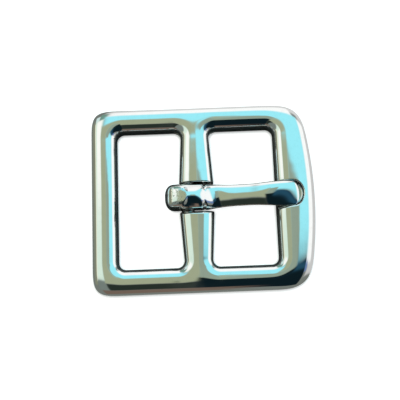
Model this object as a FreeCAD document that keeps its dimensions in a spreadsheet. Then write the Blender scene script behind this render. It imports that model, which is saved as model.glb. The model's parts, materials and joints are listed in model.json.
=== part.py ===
# Centre-bar belt buckle for a 32 mm strap: a cast, polished frame with two equal windows, and a cast tongue
# whose eye turns on a round neck in the middle of the centre bar.
#
# Row frame, in millimetres: the buckle lies on its flat back at Z = 0 with its face up. +X runs along the
# strap, from the heel bar to the bowed bar that the tongue rests on. +Y runs across the strap, along the
# tongue's hinge. The origin is under the middle of the frame's outline.
import FreeCAD, Part
import os

import Sketcher

DRIVING_SIZES = [
    ("strap_width", 32.0, "width of the strap that the buckle takes"),
    ("strap_ease", 0.5, "gap between the strap and the window at each edge"),
    ("window_length", 15.5, "length of each window beside the ends of the centre bar"),
    ("heel_bar", 6.15, "width of the straight outer bar"),
    ("side_bar", 5.85, "width of the two bars along the strap's edges"),
    ("rest_bar", 9.3, "width of the bowed outer bar at its middle"),
    ("bow_radius", 97.0, "radius of the bowed outer edge"),
    ("bar_end_width", 6.6, "width of the centre bar where it joins the side bars"),
    ("bar_middle_width", 8.6, "width the tapering centre bar would have at its middle"),
    ("thickness", 4.4, "back to crown of the frame"),
    ("crown_radius", 2.6, "rounding of the frame's upper edges"),
    ("least_wall", 0.5, "upright wall that always stays between the upper and the lower rounding"),
    ("back_radius", 0.5, "rounding of the frame's lower edges"),
    ("heel_corner", 3.8, "outline radius at the heel bar's corners"),
    ("rest_corner", 5.4, "outline radius at the bowed bar's corners"),
    ("window_corner", 1.8, "radius of the windows' corners"),
    ("neck_diameter", 3.2, "round neck that the tongue turns on"),
    ("neck_inset", 0.4, "shoulder's edge to the side of the neck"),
    ("eye_clearance", 0.1, "radial gap between the neck and the tongue's eye"),
    ("side_play", 0.2, "gap between the hub and the bar's shoulder on each side"),
    ("shoulder_radius", 0.4, "rounding of the shoulders' edges"),
    ("rest_depth", 1.4, "depth of the tongue's rest below the crown"),
    ("rest_side_gap", 0.4, "gap between the tongue's flared end and the wall of its rest"),
    ("rest_mouth", 9.0, "width of the rest where it opens into the window"),
    ("rest_end_gap", 1.2, "gap between the tongue's end and the end of its rest"),
    ("rest_floor_radius", 0.4, "rounding between the rest's floor and wall"),
    ("hub_width", 6.0, "width of the tongue's hub across the strap"),
    ("hub_floor", 0.8, "metal under the eye"),
    ("hub_roof", 2.0, "metal over the eye"),
    ("heel_wall", 3.7, "metal between the eye and the hub's round heel"),
    ("heel_corner_in_plan", 2.0, "radius of the hub's heel seen from above"),
    ("heel_flat", 0.5, "level stretch between the hub's round heel and the eye's middle"),
    ("crest_radius", 4.4, "rounding where the hub's top turns down to the blade"),
    ("toe_reach", 2.0, "centre of the bar to the hub's toe under the blade"),
    ("toe_radius", 1.28, "rounding of the toe's lower edge"),
    ("back_gap", 0.1, "hub's underside above the frame's back"),
    ("blade_thickness", 2.1, "thickness of the tongue's blade at its root"),
    ("tip_thickness", 1.9, "thickness of the tongue over its rest"),
    ("waist_width", 5.1, "narrowest width of the blade"),
    ("tip_width", 5.9, "width of the tongue's flared end"),
    ("tip_overlap", 5.4, "length of the tongue past the bowed bar's inner edge"),
    ("tip_corner", 2.3, "radius of the flared end's corners seen from above"),
    ("tip_gap", 0.1, "gap between the tongue and the floor of its rest"),
    ("tip_lead", 1.0, "how far before the bowed bar the tongue's underside turns level"),
    ("nose_length", 2.6, "length of the slope at the flared end"),
    ("nose_radius", 3.8, "rounding where that slope starts"),
    ("nose_height", 0.85, "height of the end's lip over its underside"),
    ("nose_undercut", 1.2, "how far the lip stands past the underside"),
    ("flare_straight", 1.0, "straight edge between the flared end's corner and the waist"),
    ("root_run", 4.6, "centre of the bar to the place where the blade leaves the hub"),
    ("root_drop", 2.2, "hub's crest above the blade's root"),
    ("root_radius", 3.96, "rounding in the corner between the hub and the blade"),
    ("root_web", 0.4, "extra metal under the blade where it leaves the hub"),
]

doc = FreeCAD.newDocument("belt_buckle")
sheet = doc.addObject("Spreadsheet::Sheet", "Sizes")
for row, (alias, value, meaning) in enumerate(DRIVING_SIZES, start=1):
    sheet.set(f"A{row}", meaning)
    sheet.set(f"B{row}", str(value))
    sheet.setAlias(f"B{row}", alias)
doc.recompute()

# Sizes that follow from the driving ones, as expressions on the sheet's cells.
WINDOW_WIDTH = "(Sizes.strap_width + 2 * Sizes.strap_ease)"
FRAME_WIDTH = f"({WINDOW_WIDTH} + 2 * Sizes.side_bar)"
FRAME_LENGTH = "(Sizes.heel_bar + 2 * Sizes.window_length + Sizes.bar_end_width + Sizes.rest_bar)"
BAR_X = f"(Sizes.heel_bar + Sizes.window_length + Sizes.bar_end_width / 2 - {FRAME_LENGTH} / 2)"
HEEL_WINDOW_X = f"(Sizes.heel_bar - {FRAME_LENGTH} / 2)"
REST_EDGE_X = f"({FRAME_LENGTH} / 2 - Sizes.rest_bar)"
NARROWEST_BAR = "min(Sizes.side_bar; Sizes.heel_bar)"
WALL_ROOM = "(Sizes.thickness - Sizes.back_radius - Sizes.least_wall)"
ROUNDED_SHARE = 0.46  # of a bar's width, on each side, so that a narrow flat stays along its crest
CROWN = f"min(Sizes.crown_radius; {ROUNDED_SHARE} * {NARROWEST_BAR}; {WALL_ROOM})"
NECK_GAP = "(Sizes.hub_width + 2 * Sizes.side_play)"
NECK_RADIUS = "(Sizes.neck_diameter / 2)"
EYE_RADIUS = f"({NECK_RADIUS} + Sizes.eye_clearance)"
SHOULDER_HALF_WIDTH = (
    "(Sizes.bar_middle_width / 2 - (Sizes.bar_middle_width - Sizes.bar_end_width) / 2"
    f" * {NECK_GAP} / {WINDOW_WIDTH})"
)
NECK_X = f"({BAR_X} - {SHOULDER_HALF_WIDTH} + Sizes.neck_inset + {NECK_RADIUS})"
NECK_Z = f"(Sizes.back_gap + Sizes.hub_floor + {EYE_RADIUS})"
REST_FLOOR = "(Sizes.thickness - Sizes.rest_depth)"
REST_RADIUS = "(Sizes.tip_width / 2 + Sizes.rest_side_gap)"
HUB_TOP = f"({NECK_Z} + {EYE_RADIUS} + Sizes.hub_roof)"
HEEL_X = f"({NECK_X} - {EYE_RADIUS} - Sizes.heel_wall)"
ROOT_X = f"({BAR_X} + Sizes.root_run)"
ROOT_TOP = f"({HUB_TOP} - Sizes.root_drop)"
TIP_X = f"({REST_EDGE_X} + Sizes.tip_overlap)"
TIP_BOTTOM = f"({REST_FLOOR} + Sizes.tip_gap)"
TIP_TOP = f"({TIP_BOTTOM} + Sizes.tip_thickness)"
REST_CENTRE_X = f"({TIP_X} + Sizes.rest_end_gap - {REST_RADIUS})"
RIGHT_THROUGH = "6 * Sizes.thickness"  # long enough for any cut that goes right through the buckle


def size(expression):
    """The expression's value now, in millimetres."""
    value = sheet.evalExpression(expression)
    return float(getattr(value, "Value", value))


def new_body(name):
    body = doc.addObject("PartDesign::Body", name)
    body.Label = name
    return body


def new_sketch(body, name, plane):
    """A sketch on one of the body's own origin planes."""
    sketch = body.newObject("Sketcher::SketchObject", name)
    datum = next(f for f in body.Origin.OriginFeatures if f.Role == plane)
    sketch.AttachmentSupport = [(datum, "")]
    sketch.MapMode = "FlatFace"
    return sketch


def dimension(sketch, kind, first, second, expression):
    """A dimension whose value is bound to the sheet. first is (geometry, point); second may be None."""
    value = size(expression)
    parts = (*first, *second, value) if second else (*first, value)
    index = sketch.addConstraint(Sketcher.Constraint(kind, *parts))
    sketch.setExpression(f"Constraints[{index}]", expression)


ORIGIN = (-1, 1)
START, END, CENTRE = 1, 2, 3


def draw_loop(sketch, corners, bulges=None):
    """A closed outline through corners given as (x, y) expressions. bulges maps the index of an edge to
    (radius expression, side): that edge is an arc, bulging to the right of its direction if side is 1."""
    bulges = bulges or {}
    points = [FreeCAD.Vector(size(x), size(y), 0) for x, y in corners]
    edges = []
    for i, a in enumerate(points):
        b = points[(i + 1) % len(points)]
        if i in bulges:
            radius, side = size(bulges[i][0]), bulges[i][1]
            along = b - a
            rise = radius - (radius**2 - (along.Length / 2) ** 2) ** 0.5
            outward = FreeCAD.Vector(along.y, -along.x, 0).normalize() * side
            shape = Part.Arc(a, (a + b) * 0.5 + outward * rise, b)
        else:
            shape = Part.LineSegment(a, b)
        edges.append(sketch.addGeometry(shape, False))

    def ends(i):
        """The sketch's own start and end of edge i, which an arc drawn clockwise has the other way round."""
        swapped = i in bulges and bulges[i][1] == -1
        return (END, START) if swapped else (START, END)

    for i, edge in enumerate(edges):
        following = (i + 1) % len(edges)
        sketch.addConstraint(
            Sketcher.Constraint("Coincident", edge, ends(i)[1], edges[following], ends(following)[0])
        )
        dimension(sketch, "DistanceX", ORIGIN, (edge, ends(i)[0]), corners[i][0])
        dimension(sketch, "DistanceY", ORIGIN, (edge, ends(i)[0]), corners[i][1])
        if i in bulges:
            dimension(sketch, "Radius", (edge,), None, bulges[i][0])
    return edges


def draw_circle(sketch, x, y, radius):
    middle = FreeCAD.Vector(size(x), size(y), 0)
    circle = sketch.addGeometry(Part.Circle(middle, FreeCAD.Vector(0, 0, 1), size(radius)), False)
    dimension(sketch, "DistanceX", ORIGIN, (circle, CENTRE), x)
    dimension(sketch, "DistanceY", ORIGIN, (circle, CENTRE), y)
    dimension(sketch, "Radius", (circle,), None, radius)


def add_feature(body, kind, name, profile, both_sides=False, reverse=False, **expressions):
    """A feature made from a profile, with its lengths bound to the sheet. The body's tip follows it."""
    feature = body.newObject(kind, name)
    feature.Profile = profile
    feature.Reversed = reverse
    if both_sides:
        feature.Midplane = True
    for prop, expression in expressions.items():
        feature.setExpression(prop, expression)
    profile.Visibility = False
    doc.recompute()
    return feature


def cut_feature(body, kind, name, profile, **options):
    """Like add_feature, for one that must take metal away."""
    before = body.Tip.Shape.Volume
    feature = add_feature(body, kind, name, profile, **options)
    if feature.Shape.Volume >= before - 1e-3:
        raise RuntimeError(f"{name} cut nothing")
    return feature


def round_edges(body, name, radius, chosen):
    """Rounds the edges for which chosen(edge) is true."""
    base = body.Tip
    names = [f"Edge{i}" for i, edge in enumerate(base.Shape.Edges, start=1) if chosen(edge)]
    if not names:
        raise RuntimeError(f"{name} found no edges")
    feature = body.newObject("PartDesign::Fillet", name)
    feature.Base = (base, names)
    feature.setExpression("Radius", radius)
    doc.recompute()
    return feature


NEAR = 0.01


def flat_at(edge, height):
    """Whether the whole edge lies at that height."""
    box = edge.BoundBox
    return abs(box.ZMin - height) < NEAR and abs(box.ZMax - height) < NEAR


def upright(edge):
    box = edge.BoundBox
    return box.XLength < NEAR and box.YLength < NEAR


def across(edge):
    """Whether the edge runs along Y only."""
    box = edge.BoundBox
    return box.XLength < NEAR and box.ZLength < NEAR


# --- frame: one casting -------------------------------------------------------------------------------
frame = new_body("frame")

outline = new_sketch(frame, "frame_outline", "XY_Plane")
BOW_DROP = f"(Sizes.bow_radius - sqrt(Sizes.bow_radius ^ 2 - ({FRAME_WIDTH} / 2) ^ 2))"
draw_loop(
    outline,
    [
        (f"-{FRAME_LENGTH} / 2", f"-{FRAME_WIDTH} / 2"),
        (f"{FRAME_LENGTH} / 2 - {BOW_DROP}", f"-{FRAME_WIDTH} / 2"),
        (f"{FRAME_LENGTH} / 2 - {BOW_DROP}", f"{FRAME_WIDTH} / 2"),
        (f"-{FRAME_LENGTH} / 2", f"{FRAME_WIDTH} / 2"),
    ],
    {1: ("Sizes.bow_radius", 1)},
)
add_feature(frame, "PartDesign::Pad", "slab", outline, Length="Sizes.thickness")
round_edges(frame, "heel_corners", "Sizes.heel_corner", lambda e: upright(e) and e.BoundBox.XMin < 0)
round_edges(
    frame, "rest_corners", "Sizes.rest_corner", lambda e: upright(e) and e.BoundBox.XMin > 0
)

windows = new_sketch(frame, "window_outlines", "XY_Plane")
draw_loop(
    windows,
    [
        (HEEL_WINDOW_X, f"-{WINDOW_WIDTH} / 2"),
        (f"{BAR_X} - Sizes.bar_end_width / 2", f"-{WINDOW_WIDTH} / 2"),
        (f"{BAR_X} - Sizes.bar_middle_width / 2", "0"),
        (f"{BAR_X} - Sizes.bar_end_width / 2", f"{WINDOW_WIDTH} / 2"),
        (HEEL_WINDOW_X, f"{WINDOW_WIDTH} / 2"),
    ],
)
draw_loop(
    windows,
    [
        (f"{BAR_X} + Sizes.bar_end_width / 2", f"-{WINDOW_WIDTH} / 2"),
        (REST_EDGE_X, f"-{WINDOW_WIDTH} / 2"),
        (REST_EDGE_X, f"{WINDOW_WIDTH} / 2"),
        (f"{BAR_X} + Sizes.bar_end_width / 2", f"{WINDOW_WIDTH} / 2"),
        (f"{BAR_X} + Sizes.bar_middle_width / 2", "0"),
    ],
)
cut_feature(frame, "PartDesign::Pocket", "windows", windows, both_sides=True, Length=RIGHT_THROUGH)

half_window = size(WINDOW_WIDTH) / 2
round_edges(
    frame,
    "window_corners",
    "Sizes.window_corner",
    lambda e: upright(e)
    and abs(abs(e.BoundBox.YMin) - half_window) < NEAR
    and e.BoundBox.XMax < size(REST_EDGE_X) + NEAR,
)
round_edges(frame, "crown", CROWN, lambda e: flat_at(e, size("Sizes.thickness")))
round_edges(frame, "back_edges", "Sizes.back_radius", lambda e: flat_at(e, 0))

# The gap for the tongue's hub, cut right through the bar, and then the neck across it.
gap = new_sketch(frame, "neck_gap_section", "XZ_Plane")
draw_loop(
    gap,
    [
        (f"{BAR_X} - Sizes.bar_middle_width", "-Sizes.thickness"),
        (f"{BAR_X} + Sizes.bar_middle_width", "-Sizes.thickness"),
        (f"{BAR_X} + Sizes.bar_middle_width", "2 * Sizes.thickness"),
        (f"{BAR_X} - Sizes.bar_middle_width", "2 * Sizes.thickness"),
    ],
)
cut_feature(frame, "PartDesign::Pocket", "neck_gap", gap, both_sides=True, Length=NECK_GAP)
half_gap = size(NECK_GAP) / 2
# The rounding round each shoulder's end runs over the bar's own lower rounding, so it stays the smaller.
SHOULDER_ROUND = "min(Sizes.shoulder_radius; 0.9 * Sizes.back_radius)"
round_edges(
    frame,
    "shoulder_edges",
    SHOULDER_ROUND,
    lambda e: e.BoundBox.YLength < NEAR and abs(abs(e.BoundBox.YMin) - half_gap) < NEAR,
)
neck = new_sketch(frame, "neck_section", "XZ_Plane")
draw_circle(neck, NECK_X, NECK_Z, NECK_RADIUS)
add_feature(
    frame, "PartDesign::Pad", "neck", neck, both_sides=True, Length=f"{NECK_GAP} + Sizes.neck_diameter"
)

# The tongue's rest: a pocket cut down into the bowed bar, wide where it opens into the window and round
# at its blind end, just larger than the flared end that lies in it.
rest = new_sketch(frame, "tongue_rest_outline", "XY_Plane")
rest.setExpression(".AttachmentOffset.Base.z", REST_FLOOR)
MOUTH_X = f"({REST_EDGE_X} - Sizes.window_corner)"
HALF_CIRCLE = 1.0001  # the blind end's radius over half its width: a hair over 1, so its arc has a rise
draw_loop(
    rest,
    [
        (MOUTH_X, "-Sizes.rest_mouth / 2"),
        (REST_CENTRE_X, f"-{REST_RADIUS}"),
        (REST_CENTRE_X, REST_RADIUS),
        (MOUTH_X, "Sizes.rest_mouth / 2"),
    ],
    {1: (f"{REST_RADIUS} * {HALF_CIRCLE}", 1)},
)
cut_feature(
    frame, "PartDesign::Pocket", "tongue_rest", rest, reverse=True, Length="2 * Sizes.rest_depth"
)
# The floor's edge along the window stays sharp: it ends where the blind end starts.
round_edges(
    frame,
    "rest_floor_edges",
    "Sizes.rest_floor_radius",
    lambda e: flat_at(e, size(REST_FLOOR)) and e.BoundBox.XMax > size(REST_CENTRE_X) - NEAR,
)

# --- tongue: one casting ------------------------------------------------------------------------------
tongue = new_body("tongue")

profile = new_sketch(tongue, "tongue_side_profile", "XZ_Plane")
CREST_X = f"({NECK_X} + {EYE_RADIUS})"
TOE_X = f"({BAR_X} + Sizes.toe_reach)"
NOSE_X = f"({TIP_X} - Sizes.nose_length)"
draw_loop(
    profile,
    [
        (HEEL_X, "Sizes.back_gap"),
        (TOE_X, "Sizes.back_gap"),
        (TOE_X, f"{ROOT_TOP} - Sizes.blade_thickness - Sizes.root_web"),
        (f"{REST_EDGE_X} - Sizes.tip_lead", TIP_BOTTOM),
        (f"{TIP_X} - Sizes.nose_undercut", TIP_BOTTOM),
        (TIP_X, f"{TIP_BOTTOM} + Sizes.nose_height"),
        (NOSE_X, TIP_TOP),
        (ROOT_X, ROOT_TOP),
        (CREST_X, HUB_TOP),
        (HEEL_X, HUB_TOP),
    ],
)
SLAB_WIDTH = "2 * max(Sizes.hub_width; Sizes.tip_width)"
add_feature(tongue, "PartDesign::Pad", "tongue_slab", profile, both_sides=True, Length=SLAB_WIDTH)


def at(x, z):
    """Picks the crosswise edge at that place in the side profile."""
    return lambda e: (
        across(e)
        and abs(e.BoundBox.XMin - size(x)) < NEAR
        and abs(e.BoundBox.ZMin - size(z)) < NEAR
    )


ROUNDED_HEIGHT = 0.49  # of the hub's height, at its upper and at its lower edge
HEEL_ROUND = (
    f"min({ROUNDED_HEIGHT} * ({HUB_TOP} - Sizes.back_gap);"
    f" {EYE_RADIUS} + Sizes.heel_wall - Sizes.heel_flat)"
)
round_edges(
    tongue, "hub_heel", HEEL_ROUND, lambda e: across(e) and abs(e.BoundBox.XMin - size(HEEL_X)) < NEAR
)
round_edges(tongue, "hub_toe", "Sizes.toe_radius", at(TOE_X, "Sizes.back_gap"))
round_edges(tongue, "hub_crest", "Sizes.crest_radius", at(CREST_X, HUB_TOP))
round_edges(tongue, "blade_root", "Sizes.root_radius", at(ROOT_X, ROOT_TOP))
round_edges(tongue, "nose", "Sizes.nose_radius", at(NOSE_X, TIP_TOP))

plan = new_sketch(tongue, "tongue_plan_cut", "XY_Plane")
HALF_HUB = "Sizes.hub_width / 2"
HALF_TIP = "Sizes.tip_width / 2"
FLARE_X = f"({TIP_X} - Sizes.tip_corner - Sizes.flare_straight)"
WAIST_SPAN = f"({FLARE_X} - {BAR_X})"
WAIST_DIP = f"(({HALF_HUB} + {HALF_TIP}) / 2 - Sizes.waist_width / 2)"
WAIST_RADIUS = f"(({WAIST_SPAN} ^ 2 / 4 + {WAIST_DIP} ^ 2) / (2 * {WAIST_DIP}))"
HEEL_CORNER = "Sizes.heel_corner_in_plan"
draw_loop(
    plan,
    [
        (f"{HEEL_X} + {HEEL_CORNER}", f"-{HALF_HUB}"),
        (BAR_X, f"-{HALF_HUB}"),
        (FLARE_X, f"-{HALF_TIP}"),
        (f"{TIP_X} - Sizes.tip_corner", f"-{HALF_TIP}"),
        (TIP_X, f"-{HALF_TIP} + Sizes.tip_corner"),
        (TIP_X, f"{HALF_TIP} - Sizes.tip_corner"),
        (f"{TIP_X} - Sizes.tip_corner", HALF_TIP),
        (FLARE_X, HALF_TIP),
        (BAR_X, HALF_HUB),
        (f"{HEEL_X} + {HEEL_CORNER}", HALF_HUB),
        (HEEL_X, f"{HALF_HUB} - {HEEL_CORNER}"),
        (HEEL_X, f"-{HALF_HUB} + {HEEL_CORNER}"),
    ],
    {
        1: (WAIST_RADIUS, -1),
        3: ("Sizes.tip_corner", 1),
        5: ("Sizes.tip_corner", 1),
        7: (WAIST_RADIUS, -1),
        9: (HEEL_CORNER, 1),
        11: (HEEL_CORNER, 1),
    },
)
draw_loop(
    plan,
    [
        (f"{HEEL_X} - Sizes.hub_width", f"-{SLAB_WIDTH}"),
        (f"{TIP_X} + Sizes.hub_width", f"-{SLAB_WIDTH}"),
        (f"{TIP_X} + Sizes.hub_width", SLAB_WIDTH),
        (f"{HEEL_X} - Sizes.hub_width", SLAB_WIDTH),
    ],
)
cut_feature(
    tongue, "PartDesign::Pocket", "tongue_sides", plan, both_sides=True, Length=RIGHT_THROUGH
)

eye = new_sketch(tongue, "eye_section", "XZ_Plane")
draw_circle(eye, NECK_X, NECK_Z, EYE_RADIUS)
cut_feature(tongue, "PartDesign::Pocket", "eye", eye, both_sides=True, Length=SLAB_WIDTH)

# --- check and write ----------------------------------------------------------------------------------
doc.recompute()
for item in doc.Objects:
    if "Invalid" in item.State or "Error" in item.State:
        raise RuntimeError(f"{item.Name} did not build: {item.State}")
os.makedirs("parts", exist_ok=True)
for body in (frame, tongue):
    shape = body.Shape
    if shape.isNull() or not shape.isValid() or not shape.Solids:
        raise RuntimeError(f"{body.Label} is not a valid solid")
    shape.exportStep(os.path.join("parts", f"{body.Label}.step"))
    box = shape.BoundBox
    print(body.Label, len(shape.Solids), "solid", round(shape.Volume, 2), "mm3", box)
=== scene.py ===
import json
import math

import bmesh
import bpy
import numpy as np
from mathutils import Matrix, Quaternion, Vector


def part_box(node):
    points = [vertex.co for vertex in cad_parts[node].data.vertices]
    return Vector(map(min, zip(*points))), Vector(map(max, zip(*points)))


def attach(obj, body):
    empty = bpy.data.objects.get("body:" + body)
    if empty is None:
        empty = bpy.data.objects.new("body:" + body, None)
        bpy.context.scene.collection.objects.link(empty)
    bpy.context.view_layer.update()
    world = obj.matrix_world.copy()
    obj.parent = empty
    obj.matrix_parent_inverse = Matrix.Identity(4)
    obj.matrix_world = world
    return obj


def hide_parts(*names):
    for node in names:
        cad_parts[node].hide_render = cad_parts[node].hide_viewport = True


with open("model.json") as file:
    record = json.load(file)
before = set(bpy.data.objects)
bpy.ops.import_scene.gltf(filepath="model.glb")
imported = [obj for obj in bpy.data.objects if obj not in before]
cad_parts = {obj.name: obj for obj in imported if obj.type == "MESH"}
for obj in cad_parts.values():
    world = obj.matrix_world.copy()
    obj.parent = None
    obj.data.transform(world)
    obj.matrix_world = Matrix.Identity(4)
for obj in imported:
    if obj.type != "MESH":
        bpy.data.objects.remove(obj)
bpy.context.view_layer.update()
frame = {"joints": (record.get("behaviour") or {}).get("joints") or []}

# ---------------------------------------------------------------------------------------------------------
# Frame. The real piece is one zinc or brass casting: a rounded outer ring, a centre bar across it that
# flares towards its middle, and a round neck in the middle of that bar. It is fettled, polished to a mirror
# and plated, and the strap's fold, sewn round the centre bar, holds it to the belt.
# ---------------------------------------------------------------------------------------------------------
MM = 0.001
frame_low, frame_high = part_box("frame")
hinge = frame["joints"][0]
NECK_X, NECK_Z = hinge["pos_m"][0], hinge["pos_m"][2]

HEEL_BAR = 6.15 * MM
SIDE_BAR = 5.85 * MM
REST_BAR = 9.3 * MM
BAR_END_WIDTH = 6.6 * MM
BAR_MIDDLE_WIDTH = 8.6 * MM
BOW_RADIUS = 97 * MM
HEEL_CORNER, HEEL_CORNER_REACH = 3.8 * MM, 8 * MM
REST_CORNER, REST_CORNER_REACH = 5.2 * MM, 9 * MM
WINDOW_CORNER = 1.8 * MM
NECK_GAP = 6.4 * MM
SHOULDER_CORNER = 0.5 * MM
UPPER_SHOULDER_ROUND, LOWER_SHOULDER_ROUND = 0.6 * MM, 1.0 * MM
WALL_HEIGHT = 1.3 * MM
BACK_ROUND = 0.45 * MM

HALF_WIDTH = frame_high.y
HALF_WINDOW = HALF_WIDTH - SIDE_BAR
HEEL_EDGE = frame_low.x
HEEL_WINDOW_X = HEEL_EDGE + HEEL_BAR
REST_WINDOW_X = frame_high.x - REST_BAR
BAR_X = (HEEL_WINDOW_X + REST_WINDOW_X) / 2
CROWN = frame_high.z
DOME = CROWN - WALL_HEIGHT


def bar_half_width(y):
    """Half the centre bar's width: a straight flare from its ends to its middle."""
    return (BAR_MIDDLE_WIDTH + (BAR_END_WIDTH - BAR_MIDDLE_WIDTH) * np.abs(y) / HALF_WINDOW) / 2


def bowed_edge(y):
    """The x of the bowed outer edge: an arc of a circle about a point on the X axis."""
    return frame_high.x - BOW_RADIUS + np.sqrt(BOW_RADIUS**2 - y**2)


def corner_power(radius, reach):
    """The power p of the corner u^p + v^p = reach^p that is cut as deep as an arc of that radius."""
    return -1 / math.log2(1 - (1 - math.sqrt(0.5)) * radius / reach)


HEEL_POWER = corner_power(HEEL_CORNER, HEEL_CORNER_REACH)
REST_POWER = corner_power(REST_CORNER, REST_CORNER_REACH)


def outer_depth(x, y):
    """How far a point lies inside the outer edge: from the sides, or from a corner's power curve."""
    side = HALF_WIDTH - np.abs(y)

    def depth(end, reach, power):
        u = np.maximum(reach - end, 0) / reach
        v = np.maximum(reach - side, 0) / reach
        return reach * (1 - (u**power + v**power) ** (1 / power))

    heel = depth(x - HEEL_EDGE, HEEL_CORNER_REACH, HEEL_POWER)
    rest = depth(bowed_edge(y) - x, REST_CORNER_REACH, REST_POWER)
    return np.minimum(heel, rest)


def window_distance(x, y, low, high):
    """How far a point lies from a window with round corners, whose ends are at x = low and x = high."""
    u = np.maximum(low - x, x - high) + WINDOW_CORNER
    v = np.abs(y) - HALF_WINDOW + WINDOW_CORNER
    return np.hypot(np.maximum(u, 0), np.maximum(v, 0)) - WINDOW_CORNER


REST_HALF_WIDTH = 3.2 * MM
REST_MOUTH_FLARE, UPPER_MOUTH_FLARE = 0.95 * MM, 0.2375 * MM
REST_STRAIGHT = 4.0 * MM
REST_FLOOR = CROWN - 1.45 * MM
REST_FLOOR_DROP = 0.5 * MM
REST_END = 6.7 * MM
MOUTH_LIMIT, MOUTH_POWER, WALL_LIMIT, WALL_POWER = 1.5, 1.3, 2, 12


def tongue_rest(x, y):
    """The height of the tongue's rest: a flat trough with steep walls and a round end. Its mouth flares
    towards the window, more on the side towards -Y."""
    run = x - REST_WINDOW_X
    mouth = np.clip(1 - run / REST_STRAIGHT, 0, MOUTH_LIMIT)
    flare = np.where(y > 0, UPPER_MOUTH_FLARE, REST_MOUTH_FLARE)
    width = REST_HALF_WIDTH + flare * mouth**MOUTH_POWER
    past = np.maximum(run - REST_STRAIGHT, 0) / (REST_END - REST_STRAIGHT)
    rim = np.hypot(y / width, past)
    floor = REST_FLOOR - REST_FLOOR_DROP * mouth**2
    return floor + (CROWN - floor) * np.minimum(rim, WALL_LIMIT) ** WALL_POWER


# The dome's crest leans towards the window on the bowed bar, over a short run, and is levelled off.
REST_LEAN, REST_LEAN_RUN = 0.6, 1.2 * MM
CREST_LEVELLING, DOME_FILL = 0.75, 0.98
REST_EDGE_ROUND = 0.1 * MM
LEAST = 1e-9


def frame_top(x, y):
    """The frame's upper surface. Each edge at distance d adds 1/d, the sum's inverse grows from nothing at
    the edges to a crest along each bar, and its root, levelled off, is a dome on an upright wall."""
    outer = np.maximum(outer_depth(x, y), LEAST)
    half = bar_half_width(y)
    heel = np.maximum(window_distance(x, y, HEEL_WINDOW_X, BAR_X - half), LEAST)
    rest = np.maximum(window_distance(x, y, BAR_X + half, REST_WINDOW_X), LEAST)
    lean = 1 + REST_LEAN / (1 + np.exp(-(x - REST_WINDOW_X) / REST_LEAN_RUN))
    crest = 1 / (lean / outer + 1 / heel + 1 / rest)
    level = crest / (SIDE_BAR / 4)
    dome = DOME_FILL * DOME * (level**-2 + CREST_LEVELLING) ** -0.25
    side = np.minimum(heel, rest)
    in_corner = np.maximum(SHOULDER_CORNER - side, 0)
    setback = SHOULDER_CORNER - np.sqrt(np.maximum(SHOULDER_CORNER**2 - in_corner**2, 0))
    shoulder_round = np.where(y > 0, UPPER_SHOULDER_ROUND, LOWER_SHOULDER_ROUND)
    end = np.clip((np.abs(y) - NECK_GAP / 2 - setback) / shoulder_round, 0, 1)
    on_bar = np.abs(x - BAR_X) < BAR_MIDDLE_WIDTH
    dome = np.where(on_bar, dome * np.sqrt(1 - (1 - end) ** 2), dome)
    top = WALL_HEIGHT + dome
    drop = top - tongue_rest(x, y)
    on_rest = x > REST_WINDOW_X - MM
    softened = top - (drop + np.hypot(drop, REST_EDGE_ROUND)) / 2
    return np.where(on_rest, softened, top)


def line(a, b, count):
    """Points from a towards b, without b."""
    t = np.linspace(0, 1, count, endpoint=False)[:, None]
    return np.array(a) + t * (np.array(b) - np.array(a))


def arc(x, y, radius, start, stop, count):
    """Points of an arc from one angle to another, in degrees, without the last."""
    angle = np.radians(np.linspace(start, stop, count, endpoint=False))
    return np.stack([x + radius * np.cos(angle), y + radius * np.sin(angle)], 1)


def power_corner(reach, power, start, stop, count):
    """The (u, v) of a corner's power curve at even angles about its centre, without the last."""
    angle = np.radians(np.linspace(start, stop, count, endpoint=False))
    cos, sin = np.abs(np.cos(angle)), np.abs(np.sin(angle))
    radius = reach / (cos**power + sin**power) ** (1 / power)
    return radius * cos, radius * sin


# How many points each stretch of the outline has, and where the shoulders' spine ends.
BAR_STEPS, CORNER_STEPS, SIDE_STEPS, ROOT_STEPS = 40, 44, 30, 16
CENTRE_BAR_STEPS, SHOULDER_STEPS, SHOULDER_CORNER_STEPS = 36, 36, 8
NEAR_REST, NEAR_REST_STEPS, FAR_REST_STEPS = 6 * MM, 48, 24
SPINE_SETBACK = 2.2 * MM


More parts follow.
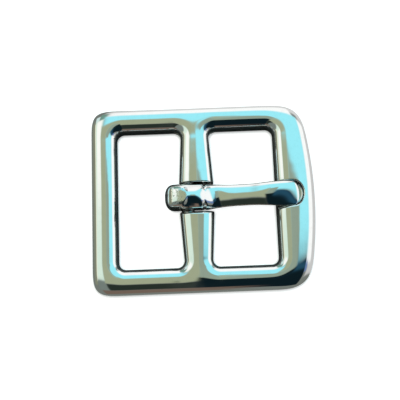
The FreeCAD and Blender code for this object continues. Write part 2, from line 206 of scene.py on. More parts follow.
def half_loops():
    """Half of the frame, Y above zero, from the heel bar's middle over the side bar to the bowed bar's. Each
    stretch is (window's edge, spine, outer edge), and the centre bar's sides have no outer edge."""
    corner_y = HALF_WINDOW - WINDOW_CORNER
    side_y = HALF_WIDTH - SIDE_BAR / 2
    gap = NECK_GAP / 2
    heel_y = HALF_WIDTH - HEEL_CORNER_REACH
    rest_y = HALF_WIDTH - REST_CORNER_REACH
    half = bar_half_width(corner_y)
    heel_root = BAR_X - half - WINDOW_CORNER
    rest_root = BAR_X + half + WINDOW_CORNER
    stretches = []

    def ring_stretch(edge, rim):
        """A stretch of the ring, whose spine runs midway between its two edges."""
        stretches.append((edge, (edge + rim) / 2, rim))

    # The heel bar, its corner and the side bar beside the heel's window.
    edge = line((HEEL_WINDOW_X, 0), (HEEL_WINDOW_X, corner_y), BAR_STEPS)
    ring_stretch(edge, line((HEEL_EDGE, 0), (HEEL_EDGE, heel_y), BAR_STEPS))
    edge = arc(HEEL_WINDOW_X + WINDOW_CORNER, corner_y, WINDOW_CORNER, 180, 90, CORNER_STEPS)
    u, v = power_corner(HEEL_CORNER_REACH, HEEL_POWER, 0, 90, CORNER_STEPS)
    ring_stretch(edge, np.stack([HEEL_EDGE + HEEL_CORNER_REACH - u, heel_y + v], 1))
    edge = line((HEEL_WINDOW_X + WINDOW_CORNER, HALF_WINDOW), (heel_root, HALF_WINDOW), SIDE_STEPS)
    ring_stretch(edge, line((HEEL_EDGE + HEEL_CORNER_REACH, HALF_WIDTH), (heel_root, HALF_WIDTH), SIDE_STEPS))

    # The root of the centre bar on the heel's side, and that side of the bar.
    edge = arc(heel_root, corner_y, WINDOW_CORNER, 90, 45, ROOT_STEPS)
    spine = line((heel_root, side_y), (BAR_X, side_y), ROOT_STEPS)
    stretches.append((edge, spine, line((heel_root, HALF_WIDTH), (BAR_X, HALF_WIDTH), ROOT_STEPS)))
    edge = arc(heel_root, corner_y, WINDOW_CORNER, 45, 0, ROOT_STEPS)
    stretches.append((edge, line((BAR_X, side_y), (BAR_X, corner_y), ROOT_STEPS), None))
    shoulder_y = gap + SHOULDER_CORNER
    spine_end = gap + SPINE_SETBACK
    y = np.linspace(corner_y, shoulder_y, CENTRE_BAR_STEPS, endpoint=False)
    edge = np.stack([BAR_X - bar_half_width(y), y], 1)
    stretches.append((edge, line((BAR_X, corner_y), (BAR_X, spine_end), CENTRE_BAR_STEPS), None))

    # The shoulder's end, and the other side of the bar with its root.
    corner = SHOULDER_CORNER
    low_x, high_x = BAR_X - bar_half_width(gap) + corner, BAR_X + bar_half_width(gap) - corner
    near_corner = arc(low_x, shoulder_y, corner, 180, 270, SHOULDER_CORNER_STEPS)
    far_corner = arc(high_x, shoulder_y, corner, 270, 360, SHOULDER_CORNER_STEPS)
    edge = np.concatenate([near_corner, line((low_x, gap), (high_x, gap), SHOULDER_STEPS), far_corner])
    stretches.append((edge, np.tile([BAR_X, spine_end], (len(edge), 1)), None))
    y = np.linspace(shoulder_y, corner_y, CENTRE_BAR_STEPS, endpoint=False)
    edge = np.stack([BAR_X + bar_half_width(y), y], 1)
    stretches.append((edge, line((BAR_X, spine_end), (BAR_X, corner_y), CENTRE_BAR_STEPS), None))
    edge = arc(rest_root, corner_y, WINDOW_CORNER, 180, 135, ROOT_STEPS)
    stretches.append((edge, line((BAR_X, corner_y), (BAR_X, side_y), ROOT_STEPS), None))
    edge = arc(rest_root, corner_y, WINDOW_CORNER, 135, 90, ROOT_STEPS)
    spine = line((BAR_X, side_y), (rest_root, side_y), ROOT_STEPS)
    stretches.append((edge, spine, line((BAR_X, HALF_WIDTH), (rest_root, HALF_WIDTH), ROOT_STEPS)))

    # The side bar beside the rest's window, the corner and the bowed bar, finer near the tongue's rest.
    corner_end = bowed_edge(HALF_WIDTH) - REST_CORNER_REACH
    edge = line((rest_root, HALF_WINDOW), (REST_WINDOW_X - WINDOW_CORNER, HALF_WINDOW), SIDE_STEPS)
    ring_stretch(edge, line((rest_root, HALF_WIDTH), (corner_end, HALF_WIDTH), SIDE_STEPS))
    edge = arc(REST_WINDOW_X - WINDOW_CORNER, corner_y, WINDOW_CORNER, 90, 0, CORNER_STEPS)
    u, v = power_corner(REST_CORNER_REACH, REST_POWER, 90, 0, CORNER_STEPS)
    y = rest_y + v
    ring_stretch(edge, np.stack([bowed_edge(y) - REST_CORNER_REACH + u, y], 1))
    near = NEAR_REST / corner_y
    far_share = np.linspace(1, near, FAR_REST_STEPS, endpoint=False)
    share = np.concatenate([far_share, np.linspace(near, 0, NEAR_REST_STEPS + 1)])
    edge = np.stack([np.full_like(share, REST_WINDOW_X), share * corner_y], 1)
    ring_stretch(edge, np.stack([bowed_edge(share * rest_y), share * rest_y], 1))
    return stretches


def closed(path):
    """The path, then its mirror image in Y = 0 back to the start, as one closed loop of points."""
    mirrored = path[-2:0:-1] * np.array([1, -1])
    return np.concatenate([path, mirrored])


DOME_ROWS, WALL_ROWS = 44, 4
BACK_ROUND_ANGLES = (15, 30, 45, 60, 75, 90)
UNDERSIDE_SHARES = (0.25, 0.5, 0.75, 1)


def bar_side(edge, spine):
    """One side of the bars, as a grid of points from the spine over the dome to the edge, down the wall,
    round its lower edge by a quarter circle, and back along the flat underside to the spine."""
    reach = spine - edge
    inward = reach / np.linalg.norm(reach, axis=1)[:, None]

    def rows(place, height):
        """Rows of points at those places and that height, which is one for all, for a row or for a point."""
        return np.concatenate([place, np.broadcast_to(height, place.shape[:2] + (1,))], -1)

    share = 1 - np.cos(np.linspace(0, math.pi / 2, DOME_ROWS))[::-1, None, None]
    place = edge + reach * share
    height = frame_top(place[..., :1], place[..., 1:])
    height[-1] = WALL_HEIGHT
    dome = rows(place, height)
    height = np.linspace(WALL_HEIGHT, BACK_ROUND, WALL_ROWS + 1)[1:, None, None]
    wall = rows(edge + 0 * height, height)
    angle = np.radians(BACK_ROUND_ANGLES)[:, None, None]
    lower_edge = rows(edge + inward * BACK_ROUND * (1 - np.cos(angle)), BACK_ROUND * (1 - np.sin(angle)))
    share = np.array(UNDERSIDE_SHARES)[:, None, None]
    start = inward * BACK_ROUND
    underside = rows(edge + start + (reach - start) * share, 0)
    return np.concatenate([dome, wall, lower_edge, underside])


def grid_faces(rows, columns, first=0):
    """The quads of a grid of points whose columns close on themselves."""
    row, column = np.meshgrid(np.arange(rows - 1), np.arange(columns), indexing="ij")
    following = (column + 1) % columns
    corners = [row * columns + column, row * columns + following]
    corners += [(row + 1) * columns + following, (row + 1) * columns + column]
    return first + np.stack(corners, -1).reshape(-1, 4)


def new_piece(name, grids, merge=0.2e-6):
    """An object of closed grids of points. Points that coincide are merged, which closes seams and poles,
    and the faces are turned outwards and shaded smooth."""
    points, faces, first = [], [], 0
    for grid in grids:
        rows, columns = grid.shape[:2]
        points.append(grid.reshape(-1, 3))
        faces.append(grid_faces(rows, columns, first))
        first += rows * columns
    mesh = bpy.data.meshes.new(name)
    mesh.from_pydata(np.concatenate(points), [], np.concatenate(faces))
    shell = bmesh.new()
    shell.from_mesh(mesh)
    bmesh.ops.remove_doubles(shell, verts=shell.verts, dist=merge)
    bmesh.ops.dissolve_degenerate(shell, edges=shell.edges, dist=merge)
    bmesh.ops.recalc_face_normals(shell, faces=shell.faces)
    shell.to_mesh(mesh)
    shell.free()
    mesh.polygons.foreach_set("use_smooth", np.ones(len(mesh.polygons), bool))
    piece = bpy.data.objects.new(name, mesh)
    bpy.context.scene.collection.objects.link(piece)
    return piece


def turned_grid(profile, centre, count=96):
    """A profile of (y, radius) turned about a line along Y through centre = (x, z)."""
    angle = np.linspace(0, 2 * math.pi, count, endpoint=False)
    y, radius = profile[:, :1], profile[:, 1:]
    x = centre[0] + radius * np.cos(angle)
    z = centre[1] + radius * np.sin(angle)
    return np.stack([x, np.broadcast_to(y, x.shape), z], -1)


NECK_RADIUS, NECK_ROOT, NECK_OVERLAP, NECK_STEPS = 1.55 * MM, 0.9 * MM, 0.1 * MM, 24


def neck_profile():
    """The neck, as (y, radius): plain between the shoulders, and closed to points inside their metal."""
    end = NECK_GAP / 2 + NECK_OVERLAP
    y = np.concatenate([[-end - NECK_ROOT], np.linspace(-end, end, NECK_STEPS), [end + NECK_ROOT]])
    return np.column_stack([y, np.concatenate([[0], np.full(NECK_STEPS, NECK_RADIUS), [0]])])


stretches = half_loops()
inner_edge = closed(np.concatenate([s[0] for s in stretches]))
inner_spine = closed(np.concatenate([s[1] for s in stretches]))
ring = [s for s in stretches if s[2] is not None]
ring_spine = closed(np.concatenate([s[1] for s in ring]))
ring_rim = closed(np.concatenate([s[2] for s in ring]))
neck = turned_grid(neck_profile(), (NECK_X, NECK_Z))
grids = [bar_side(inner_edge, inner_spine), bar_side(ring_rim, ring_spine), neck]
frame_piece = new_piece("buckle_frame", grids)


def fade(value, start, stop):
    """From 1 where the value is under start to 0 where it is over stop."""
    t = np.clip((stop - value) / (stop - start), 0, 1)
    return t * t * (3 - 2 * t)


def set_amount(piece, name, amount):
    """Stores a value from 0 to 1 at each point of the piece."""
    points = np.empty(len(piece.data.vertices) * 3)
    piece.data.vertices.foreach_get("co", points)
    x, y, z = points.reshape(-1, 3).T
    stored = piece.data.attributes.new(name, "FLOAT", "POINT")
    stored.data.foreach_set("value", amount(x, y, z).astype(np.float32))


# Each fade is where the painted shade starts to thin out and where it ends.
SHOULDER_FADE = NECK_GAP / 2 + 0.02 * MM, NECK_GAP / 2 + 0.2 * MM
NECK_FADE = NECK_GAP / 2 + 0.12 * MM, NECK_GAP / 2 + 0.6 * MM
REST_HEIGHT_FADE = REST_FLOOR + 0.1 * MM, REST_FLOOR + 0.9 * MM
REST_SIDE_FADE = 3.4 * MM, 4.2 * MM
REST_MOUTH_FADE, REST_END_FADE = (-0.4 * MM, -0.1 * MM), (REST_END, REST_END + 0.3 * MM)
REST_PAINTED_SHADE = 0.3


def frame_painted_shade(x, y, z):
    """Painted shade where the hub shades the shoulders' ends and the neck, thinning out over a few tenths of
    a millimetre, and a weaker painted shade in the tongue's rest, under the tongue."""
    on_shoulders = fade(np.abs(y), *SHOULDER_FADE) * (np.abs(x - BAR_X) < BAR_MIDDLE_WIDTH / 2)
    on_neck = fade(np.abs(y), *NECK_FADE) * (np.hypot(x - NECK_X, z - NECK_Z) < NECK_RADIUS + 0.01 * MM)
    run = x - REST_WINDOW_X
    in_rest = fade(z, *REST_HEIGHT_FADE) * fade(np.abs(y), *REST_SIDE_FADE)
    in_rest = in_rest * fade(-run, *REST_MOUTH_FADE) * fade(run, *REST_END_FADE)
    return np.maximum(np.maximum(on_shoulders, on_neck), REST_PAINTED_SHADE * in_rest * (z > WALL_HEIGHT))


# Bright plate over a mirror polish, a little wavy where the buffing wheel ran, with fine buffing lines. The
# flat back is plated as it came from the mould. Colours are linear, noise is in grains a metre, and the
# heights of the lines, dents and cast grain are shares of the relief.
# The near-black colour is painted shade between parts and in hollows, and it also darkens the pits in the
# dents.
PLATE, PAINTED_SHADE_AND_PIT_COLOUR, DULLED = (0.96, 0.97, 0.96, 1), (0.022, 0.021, 0.018, 1), (0.82, 0.83, 0.80, 1)
WAVES, CLOUDS, DENTS, PITS, GRAIN, LINES, SPECKLES = 260, 700, 1100, 2600, 4200, 5200, 6000
RELIEF, LINE_HEIGHT, DENT_HEIGHT, CAST_HEIGHT = 0.014 * MM, 0.004, 2.6, 0.9
BACK_FADE, BACK_DULLING, SHADE_AND_PIT_ROUGHNESS = (0.1 * MM, 0.35 * MM), 0.8, 0.42


def plate(name, lines_along):
    """Mirror plate. Its height is long soft waves, fine lines drawn out along the axis with the small factor,
    dents, and a fine grain on the back; its roughness and colour change with the lines, the painted shade
    between parts, the pits and the back's grain. A piece on which painted shade or dents isn't stored has
    none."""
    material = bpy.data.materials.new(name)
    material.use_nodes = True
    nodes, links = material.node_tree.nodes, material.node_tree.links
    shader = nodes["Principled BSDF"]
    shader.inputs["Metallic"].default_value = 1
    place = nodes.new("ShaderNodeTexCoord").outputs["Object"]

    def noise(scale, detail, stretch=(1, 1, 1)):
        """Noise with that many grains a metre, drawn out along an axis by a small stretch."""
        mapping = nodes.new("ShaderNodeMapping")
        mapping.inputs["Scale"].default_value = stretch
        texture = nodes.new("ShaderNodeTexNoise")
        texture.inputs["Scale"].default_value = scale
        texture.inputs["Detail"].default_value = detail
        links.new(place, mapping.inputs["Vector"])
        links.new(mapping.outputs["Vector"], texture.inputs["Vector"])
        return texture.outputs["Fac"]

    def ranged(value, low, high, to_low, to_high):
        """The value carried from one range to another, and held at its ends."""
        node = nodes.new("ShaderNodeMapRange")
        for socket, amount in zip(("From Min", "From Max", "To Min", "To Max"), (low, high, to_low, to_high)):
            node.inputs[socket].default_value = amount
        links.new(value, node.inputs["Value"])
        return node.outputs["Result"]

    def combined(operation, first, second):
        """One sum, product or the like of two values, of which either may be a plain number."""
        node = nodes.new("ShaderNodeMath")
        node.operation = operation
        for socket, value in zip(node.inputs, (first, second)):
            if isinstance(value, float):
                socket.default_value = value
            else:
                links.new(value, socket)
        return node.outputs["Value"]

    def amount(name):
        """A value stored on the piece's points."""
        node = nodes.new("ShaderNodeAttribute")
        node.attribute_name = name
        return node.outputs["Fac"]

    # Painted shade: the stored mask, broken up by speckles and joined by the pits, mixes the plate towards
    # near black and roughens it.
    speckle = ranged(noise(SPECKLES, 3), 0.42, 0.62, 0.8, 1.0)
    pits = combined("MULTIPLY", amount("dents"), ranged(noise(PITS, 2), 0.58, 0.70, 0.0, 0.6))
    painted_shade_and_pits = combined("MAXIMUM", combined("MULTIPLY", amount("painted_shade_and_pits"), speckle), pits)
    split = nodes.new("ShaderNodeSeparateXYZ")
    links.new(place, split.inputs["Vector"])
    back = ranged(split.outputs["Z"], *BACK_FADE, 1.0, 0.0)
    lines = noise(LINES, 4, lines_along)
    waves = noise(WAVES, 1)
    grain = noise(GRAIN, 5)

    mix = nodes.new("ShaderNodeMix")
    mix.data_type = "RGBA"
    mix.inputs["A"].default_value = PLATE
    mix.inputs["B"].default_value = PAINTED_SHADE_AND_PIT_COLOUR
    links.new(painted_shade_and_pits, mix.inputs["Factor"])
    worn = nodes.new("ShaderNodeMix")
    worn.data_type = "RGBA"
    worn.blend_type = "MULTIPLY"
    worn.inputs["B"].default_value = DULLED
    cloud = ranged(noise(CLOUDS, 4), 0.45, 0.8, 0.0, 0.35)
    cloud = combined("MULTIPLY", cloud, ranged(lines, 0.4, 0.7, 0.3, 1.0))
    links.new(combined("MAXIMUM", cloud, combined("MULTIPLY", back, BACK_DULLING)), worn.inputs["Factor"])
    links.new(mix.outputs["Result"], worn.inputs["A"])
    links.new(worn.outputs["Result"], shader.inputs["Base Color"])

    polish = ranged(lines, 0.35, 0.75, 0.02, 0.06)
    rough = combined("MAXIMUM", polish, combined("MULTIPLY", painted_shade_and_pits, SHADE_AND_PIT_ROUGHNESS))
    rough = combined("MAXIMUM", rough, combined("MULTIPLY", back, ranged(grain, 0.3, 0.7, 0.2, 0.34)))
    links.new(rough, shader.inputs["Roughness"])

    height = combined("ADD", waves, combined("MULTIPLY", lines, LINE_HEIGHT))
    dents = combined("MULTIPLY", amount("dents"), combined("MULTIPLY", noise(DENTS, 2), DENT_HEIGHT))
    height = combined("ADD", height, dents)
    cast = combined("ADD", back, painted_shade_and_pits)
    height = combined("ADD", height, combined("MULTIPLY", grain, combined("MULTIPLY", cast, CAST_HEIGHT)))
    bump = nodes.new("ShaderNodeBump")
    bump.inputs["Strength"].default_value = 1
    bump.inputs["Distance"].default_value = RELIEF
    links.new(height, bump.inputs["Height"])
    links.new(bump.outputs["Normal"], shader.inputs["Normal"])
    return material


set_amount(frame_piece, "painted_shade_and_pits", frame_painted_shade)
frame_piece.data.materials.clear()
frame_piece.data.materials.append(plate("frame_polished_plate", (1, 0.06, 1)))
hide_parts("frame")
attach(frame_piece, "frame")

# ---------------------------------------------------------------------------------------------------------
# Tongue. A second casting, polished and plated like the frame: a thick hub with an eye, closed round the
# neck, a waisted blade, and a flared rounded end that lies in its rest. It swings freely on the neck.
# ---------------------------------------------------------------------------------------------------------
def curve(knots, x, blur=0.35):
    """A smooth curve through (x, value) knots that never overshoots them. Between two knots it is a cubic,
    whose slope at each is the harmonic mean of the chords' slopes, or level where they turn, and the whole
    is then averaged over a bell of that width."""
    at, value = np.array(knots, float).T
    chord = np.diff(value) / np.diff(at)
    product = chord[:-1] * chord[1:]
    total = np.where(product > 0, chord[:-1] + chord[1:], 1)
    slope = np.concatenate([chord[:1], np.where(product > 0, 2 * product / total, 0), chord[-1:]])
    offset = np.linspace(-2.5, 2.5, 21)[:, None] * blur
    weight = np.exp(-((offset / blur) ** 2) / 2)
    place = np.clip(np.asarray(x)[None, :] + offset, at[0], at[-1])
    i = np.clip(np.searchsorted(at, place) - 1, 0, len(at) - 2)
    step = at[i + 1] - at[i]
    t = (place - at[i]) / step
    smooth = (1 + 2 * t) * (1 - t) ** 2 * value[i] + t**2 * (3 - 2 * t) * value[i + 1]
    smooth = smooth + step * (t * (1 - t) ** 2 * slope[i] - t**2 * (1 - t) * slope[i + 1])
    return (smooth * weight).sum(0) / weight.sum()


# Along the tongue, in millimetres from the centre bar's axis: the height of its crest, of the hub's lobe and
# of its back, its half width, the powers of its upper and lower sections, 2 for an ellipse and more for a
# flatter one, and how far its crown leans to one side.
CREST = [(-7.5, 8.6), (-3.4, 7.2), (-2.6, 6.5), (-2, 6.12), (-1, 5.98), (0.1, 5.84), (0.7, 5.62)]
CREST += [(1.6, 5.14), (2.8, 4.5), (3.85, 3.98), (4.5, 3.84), (5.5, 3.86), (7.2, 3.99), (12, 4.4)]
CREST += [(15.5, 4.84), (17.3, 4.93), (19, 4.82), (20.8, 4.52), (22.5, 4.12), (24.2, 3.7)]
LOBE = [(-7.5, 5.35), (-6, 5.8), (-4.6, 6.08), (-3, 6.26), (-2, 6.28), (24.2, 6.28)]
BACK = [(-7.5, 0.3), (-5, 0.12), (1.6, 0.12), (2.8, 0.4), (3.9, 1.3), (5, 1.9), (12, 2.6), (17.5, 3.1)]
BACK += [(21, 3.13), (24.2, 3.13)]
HALF = [(-7.5, 3.0), (-3, 3.02), (1, 3.02), (3, 2.94), (4.7, 2.84), (7, 2.65), (9.5, 2.56), (12.5, 2.56)]
HALF += [(14.5, 2.64), (16.6, 2.8), (18.5, 2.91), (21, 2.95), (24.2, 2.95)]
POWER = [(-7.5, 1.7), (-0.4, 1.7), (0.8, 2.5), (1.4, 3.2), (3.6, 3.2), (5.2, 2.3), (7.2, 1.6), (9, 1.4)]
POWER += [(13, 1.4), (16, 1.7), (19, 2.2), (24.2, 2.4)]
UNDER = [(-7.5, 4), (-5, 14), (3, 14), (5, 3), (24.2, 2.6)]
ROLL = [(-7.5, 0), (3, 0), (4.4, 0.09), (5.2, 0.09), (7.5, 0.04), (13, 0.05), (15.5, 0.06), (18, 0.11)]
ROLL += [(20, 0.16), (21.2, 0.15), (22.8, 0.09), (24.2, 0.05)]
HEEL_END, TIP_END = CREST[0][0], CREST[-1][0]
LOBE_POWER, EDGE_POWER, CREASE_POWER = 4.5, 2.3, 4
LOBE_BLEND = 0.02
CREASE, CREASE_DEPTH, CREASE_SPREAD, CREASE_NIP = 1.85, 0.5, 0.3, 0.125
# How each end closes: the length it takes, in millimetres, and the power of its curve.
HEEL_IN_PLAN, TIP_IN_PLAN = (2.2, 2.5), (1.7, 2.3)
HEEL_IN_HEIGHT, TIP_IN_HEIGHT = (2.6, 2.1), (1.05, 2.1)
HEEL_CAP, TIP_CAP, CAP_SECTIONS, BODY_SECTIONS, AROUND = 3, 2, 48, 260, 144


def tongue_grid():
    """Sections across the tongue. Each upper half is the lower of two power curves, the hub's flat lobe and
    the crested blade, and its lower half is a third. Both ends close by power curves too, in plan and in
    height, so they are rounded blocks. A crease runs in from each side where the blade leaves the hub."""
    cap = 1 - np.cos(np.linspace(0, math.pi / 2, CAP_SECTIONS, endpoint=False))
    body = np.linspace(HEEL_END + HEEL_CAP, TIP_END - TIP_CAP, BODY_SECTIONS)
    along = np.concatenate([HEEL_END + HEEL_CAP * cap, body, (TIP_END - TIP_CAP * cap)[::-1]])
    crest, back = curve(CREST, along), curve(BACK, along)
    half, power, roll = curve(HALF, along), curve(POWER, along), curve(ROLL, along)
    lobe_top = curve(LOBE, along)
    middle = (np.minimum(crest, lobe_top) + back) / 2
    crease = np.exp(-(((along - CREASE) / CREASE_SPREAD) ** 2))

    def closing(run, length, p):
        """From 0 at the end to 1 at that length from it."""
        left = 1 - np.clip(run / length, 0, 1)
        return (1 - left**p) ** (1 / p)

    from_heel, from_tip = along - HEEL_END, TIP_END - along
    half = (half - CREASE_NIP * crease) * closing(from_heel, *HEEL_IN_PLAN) * closing(from_tip, *TIP_IN_PLAN)
    close = closing(from_heel, *HEEL_IN_HEIGHT) * closing(from_tip, *TIP_IN_HEIGHT)

    angle = np.linspace(0, 2 * math.pi, AROUND, endpoint=False)
    cos, sin = np.cos(angle), np.sin(angle)
    share = np.abs(cos)[None, :]

    def arch(top, p):
        """The height over the middle of a power curve under that top, across the section."""
        return ((top - middle) * close)[:, None] * (1 - share ** p[:, None]) ** (1 / EDGE_POWER)

    lobe = arch(lobe_top, np.full_like(along, LOBE_POWER))
    blade = arch(crest, power)
    upper = (lobe + blade - np.hypot(lobe - blade, LOBE_BLEND * lobe)) / 2
    upper = upper * (1 - CREASE_DEPTH * crease[:, None] * share**CREASE_POWER)
    upper = upper + half[:, None] * cos * roll[:, None] * np.sin(np.clip(angle, 0, math.pi))
    lower = arch(back, curve(UNDER, along))
    z = middle[:, None] + np.where(sin >= 0, upper, lower)
    y = half[:, None] * cos
    x = np.broadcast_to(along[:, None], y.shape)
    return np.stack([x * MM + BAR_X, y * MM, z * MM], -1)


EYE_RADIUS, DRILL_HALF_LENGTH = 1.7 * MM, 5 * MM
SHARP_ANGLE = math.radians(50)


def bore(piece, centre, radius, half_length):
    """Cuts a round hole along Y right through the piece, and keeps the hole's edges sharp."""
    y = np.array([-half_length, -half_length, half_length, half_length])
    drill_profile = np.column_stack([y, [0, radius, radius, 0]])
    drill = new_piece("eye_drill", [turned_grid(drill_profile, centre)])
    cut = piece.modifiers.new("eye", "BOOLEAN")
    cut.operation = "DIFFERENCE"
    cut.solver = "EXACT"
    cut.object = drill
    shape = bpy.data.meshes.new_from_object(piece.evaluated_get(bpy.context.evaluated_depsgraph_get()))
    piece.modifiers.clear()
    piece.data = shape
    bpy.data.objects.remove(drill)
    shape.set_sharp_from_angle(angle=SHARP_ANGLE)


tongue_piece = new_piece("buckle_tongue", [tongue_grid()])
bore(tongue_piece, (NECK_X, NECK_Z), EYE_RADIUS, DRILL_HALF_LENGTH)

# Each fade is where the painted shade starts to thin out and where it ends.
HUB_SIDE_FADE, HUB_HEIGHT_FADE = (-2.97 * MM, -2.8 * MM), (4.4 * MM, 5.2 * MM)
EYE_FADE = EYE_RADIUS + 0.05 * MM, EYE_RADIUS + 0.4 * MM


def tongue_painted_shade(x, y, z):
    """Painted shade on the hub's sides between the shoulders, and inside the eye."""
    beside = fade(-np.abs(y), *HUB_SIDE_FADE) * (np.abs(x - BAR_X) < BAR_MIDDLE_WIDTH / 2)
    in_eye = fade(np.hypot(x - NECK_X, z - NECK_Z), *EYE_FADE)
    return np.maximum(beside * fade(z, *HUB_HEIGHT_FADE), in_eye)


# The dented patch on the lobe, in millimetres: its middle, half its length and half its width.
PATCH_MIDDLE, PATCH_HALF_LENGTH, PATCH_HALF_WIDTH = -4.6, 2.3, 2.6
PATCH_FADE, PATCH_HEIGHT_FADE = (0.75, 1.1), (-5.4 * MM, -4.6 * MM)
# The dents by the crease: how strong they are beside the lobe's, and where they lie along and across.
CREASE_DENTS, CREASE_DENTS_MIDDLE = 0.5, CREASE - 0.6
CREASE_DENTS_FADE, CREASE_DENTS_SIDE_FADE = (0.4, 1.2), (-1.6 * MM, -0.6 * MM)


def tongue_dents(x, y, z):
    """On the hub's lobe, and a little round the crease."""
    along = (x - BAR_X) / MM
    lobe = np.hypot((along - PATCH_MIDDLE) / PATCH_HALF_LENGTH, y / (PATCH_HALF_WIDTH * MM))
    crease = fade(np.abs(along - CREASE_DENTS_MIDDLE), *CREASE_DENTS_FADE)
    crease = CREASE_DENTS * crease * fade(-np.abs(y), *CREASE_DENTS_SIDE_FADE)
    return np.maximum(fade(lobe, *PATCH_FADE), crease) * fade(-z, *PATCH_HEIGHT_FADE)


set_amount(tongue_piece, "painted_shade_and_pits", tongue_painted_shade)
set_amount(tongue_piece, "dents", tongue_dents)
tongue_piece.data.materials.clear()
tongue_piece.data.materials.append(plate("tongue_polished_plate", (0.06, 1, 1)))
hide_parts("tongue")
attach(tongue_piece, "tongue")

# ---------------------------------------------------------------------------------------------------------
# Floor. A pale plain board, which only the camera and soft light see, because the polished bars reflect dark
# right down to their edges. Its glow is cut by ambient occlusion where the metal closes it in, a painted
# contact shadow, and it is clear from below, so that the back of the buckle can be seen.
# ---------------------------------------------------------------------------------------------------------
scene = bpy.context.scene
FLOOR_HALF, FLOOR_Z = 5, -0.02 * MM
FLOOR_GLOW = 0.9
CONTACT_REACH = 0.7 * MM


def staged(name, points, faces, material):
    """A mesh that lights or backs the buckle and isn't part of it."""
    mesh = bpy.data.meshes.new(name)
    mesh.from_pydata(points, [], faces)
    mesh.materials.append(material)
    thing = bpy.data.objects.new(name, mesh)
    scene.collection.objects.link(thing)
    return thing


def sheet(low_x, high_x, half_y, z):
    """The corners of a level rectangular sheet, in the order that turns its face upwards."""
    return [(low_x, -half_y, z), (high_x, -half_y, z), (high_x, half_y, z), (low_x, half_y, z)]


pale = bpy.data.materials.new("floor")
pale.use_nodes = True
nodes, links = pale.node_tree.nodes, pale.node_tree.links
shader = nodes["Principled BSDF"]
shader.inputs["Base Color"].default_value = (0.9, 0.9, 0.9, 1)
shader.inputs["Roughness"].default_value = 0.9
shader.inputs["Emission Strength"].default_value = FLOOR_GLOW
# Painted contact shadow: ambient occlusion within a short reach darkens the floor's glow next to and under
# the metal.
painted_contact_shadow = nodes.new("ShaderNodeAmbientOcclusion")
painted_contact_shadow.inputs["Distance"].default_value = CONTACT_REACH
links.new(painted_contact_shadow.outputs["Color"], shader.inputs["Emission Color"])
facing = nodes.new("ShaderNodeNewGeometry")
clear = nodes.new("ShaderNodeBsdfTransparent")
from_below = nodes.new("ShaderNodeMixShader")
links.new(facing.outputs["Backfacing"], from_below.inputs["Fac"])
links.new(shader.outputs["BSDF"], from_below.inputs[1])
links.new(clear.outputs["BSDF"], from_below.inputs[2])
links.new(from_below.outputs["Shader"], nodes["Material Output"].inputs["Surface"])
floor = staged("floor", sheet(-FLOOR_HALF, FLOOR_HALF, FLOOR_HALF, FLOOR_Z), [(0, 1, 2, 3)], pale)
floor.visible_glossy = False

# ---------------------------------------------------------------------------------------------------------
# Light. The buckle lies in a closed tent, which the camera can't see. The tent glows all over and is lined
# with soft panels of paper and cloth, whose reflections are the bands along the polished bars.
# ---------------------------------------------------------------------------------------------------------
scene.view_settings.view_transform = "Standard"
world = bpy.data.worlds.new("room")
scene.world = world
world.use_nodes = True
world.node_tree.nodes["Background"].inputs["Color"].default_value = (0.95, 0.95, 0.95, 1)

TENT_RADIUS, TENT_RINGS, TENT_SECTORS = 0.8, 400, 480
SRGB_GAMMA = 2.2


def sphere_directions():
    """Unit directions from straight above down to straight below, ring by ring."""
    tilt = np.linspace(0, math.pi, TENT_RINGS)[:, None]
    turn = np.linspace(0, 2 * math.pi, TENT_SECTORS, endpoint=False)[None, :]
    level = np.ones_like(turn)
    return np.stack([np.sin(tilt) * np.cos(turn), np.sin(tilt) * np.sin(turn), np.cos(tilt) * level], -1)


# The panels, laid one over another. Each is given in degrees from straight above, towards +X and towards +Y:
# its centre, its width and height, how far it is turned, how soft its edge is, and its colour in sRGB.
PANELS = [
    (0, 0, 360, 360, 0, 1, (0.45, 0.47, 0.45)),
    (120, 70, 120, 220, 0, 10, (0.78, 0.78, 0.78)),
    (80, 120, 200, 120, 0, 10, (0.84, 0.84, 0.84)),
    (-82, 10, 40, 70, 0, 5, (0.50, 0.52, 0.45)),
    (-57, 12, 14, 40, 0, 4, (0.93, 0.92, 0.82)),
    (-46, 46, 28, 26, 0, 4, (0.80, 0.89, 0.88)),
    (-22, 56, 20, 42, 0, 3, (0.43, 0.57, 0.52)),
    (12, 63, 48, 50, 0, 6, (1.0, 1.0, 1.0)),
    (66, 18, 40, 52, 0, 6, (1.0, 1.0, 1.0)),
    (-37, -31, 46, 57, 0, 6, (0.45, 0.49, 0.47)),
    (-36, 15.5, 40, 37, 0, 5, (0.84, 0.92, 0.86)),
    (-31.5, 22.5, 25, 21, 0, 6, (1.0, 1.0, 0.98)),
    (18, 24, 64, 44, 0, 7, (0.61, 0.94, 0.99)),
    (-8, 4.5, 21, 29, 0, 3, (0.62, 0.65, 0.54)),
    (8, 6.3, 15, 17, -13, 2, (0.56, 0.62, 0.56)),
    (-8, -37, 16, 50, 0, 3, (0.17, 0.20, 0.18)),
    (22.5, -45.5, 47, 89, 0, 1.5, (0.08, 0.13, 0.15)),
    (31, -5, 34, 9, -12, 5, (0.16, 0.30, 0.38)),
    (52, -13, 12, 16, 0, 4, (0.40, 0.50, 0.68)),
    (-20, -92, 50, 56, 0, 6, (0.44, 0.38, 0.34)),
]


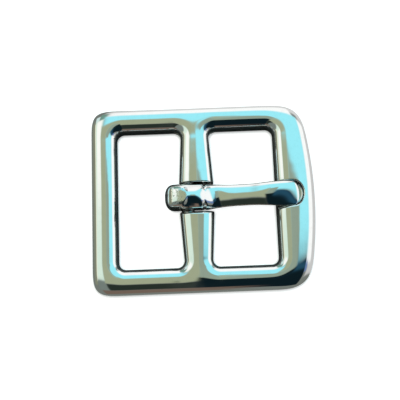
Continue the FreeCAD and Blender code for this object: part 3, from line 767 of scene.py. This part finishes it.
def tent_colour(direction):
    """The panels laid one over another on the tent, each fading out past its edge as a logistic curve."""
    tilt = np.degrees(np.arccos(np.clip(direction[..., 2], -1, 1)))
    level = np.maximum(np.hypot(direction[..., 0], direction[..., 1]), 1e-9)
    toward_x, toward_y = (tilt * direction[..., i] / level for i in (0, 1))
    colour = np.zeros(direction.shape)
    for x, y, width, height, turn, soft, shade in PANELS:
        cos, sin = math.cos(math.radians(turn)), math.sin(math.radians(turn))
        across = np.abs((toward_x - x) * cos + (toward_y - y) * sin) - width / 2
        up = np.abs((toward_y - y) * cos - (toward_x - x) * sin) - height / 2
        past_edge = np.clip(np.maximum(across, up) / soft * 4, -50, 50)
        cover = 1 / (1 + np.exp(past_edge))[..., None]
        colour += (np.array(shade) ** SRGB_GAMMA - colour) * cover
    return colour


directions = sphere_directions()
glow = bpy.data.materials.new("tent")
glow.use_nodes = True
nodes, links = glow.node_tree.nodes, glow.node_tree.links
nodes.clear()
shade = nodes.new("ShaderNodeAttribute")
shade.attribute_name = "shade"
emission = nodes.new("ShaderNodeEmission")
output = nodes.new("ShaderNodeOutputMaterial")
links.new(shade.outputs["Color"], emission.inputs["Color"])
links.new(emission.outputs["Emission"], output.inputs["Surface"])
points = (directions * TENT_RADIUS).reshape(-1, 3)
tent = staged("tent", points, grid_faces(TENT_RINGS, TENT_SECTORS), glow)
tent.visible_camera = False
rgba = np.concatenate([tent_colour(directions), np.ones((TENT_RINGS, TENT_SECTORS, 1))], -1)
shades = tent.data.color_attributes.new("shade", "FLOAT_COLOR", "POINT")
shades.data.foreach_set("color", rgba.astype(np.float32).ravel())

# ---------------------------------------------------------------------------------------------------------
# Cards. A black card lies in each window, where only the polished walls see it. It is painted shade, standing
# in for the floor that the buckle shades inside its windows, so that the windows have dark edges in the
# reflections.
# ---------------------------------------------------------------------------------------------------------
CARD_Z = -0.2 * MM
black = bpy.data.materials.new("painted_shade_card")
black.use_nodes = True
black.node_tree.nodes["Principled BSDF"].inputs["Base Color"].default_value = (0.02, 0.02, 0.02, 1)
corners = sheet(HEEL_WINDOW_X, BAR_X - BAR_MIDDLE_WIDTH / 2, HALF_WINDOW, CARD_Z)
corners += sheet(BAR_X + BAR_MIDDLE_WIDTH / 2, REST_WINDOW_X, HALF_WINDOW, CARD_Z)
# A painted shade card, which only reflections see.
card = staged("painted_shade_card", corners, [(0, 1, 2, 3), (4, 5, 6, 7)], black)
card.visible_camera = card.visible_diffuse = card.visible_shadow = False

# ---------------------------------------------------------------------------------------------------------
# Camera. A longish lens over the face, tipped a little towards -Y from straight above and turned by a couple
# of degrees, with the whole buckle in its frame.
# ---------------------------------------------------------------------------------------------------------
CAMERA_ELEVATION = math.radians(78.5)
CAMERA_ROLL = math.radians(-2.2)
CAMERA_DISTANCE = 178 * MM
CAMERA_AIM = Vector((-0.82 * MM, -0.3 * MM, 0.8 * MM))
camera_data = bpy.data.cameras.new("camera")
camera = bpy.data.objects.new("camera", camera_data)
scene.collection.objects.link(camera)
scene.camera = camera
camera_data.sensor_width = 36
camera_data.lens = 67
camera_data.clip_start = 0.01
back = Vector((0, -math.cos(CAMERA_ELEVATION), math.sin(CAMERA_ELEVATION)))
camera.location = CAMERA_AIM + back * CAMERA_DISTANCE
camera.rotation_mode = "QUATERNION"
camera.rotation_quaternion = (-back).to_track_quat("-Z", "Y") @ Quaternion((0, 0, 1), CAMERA_ROLL)
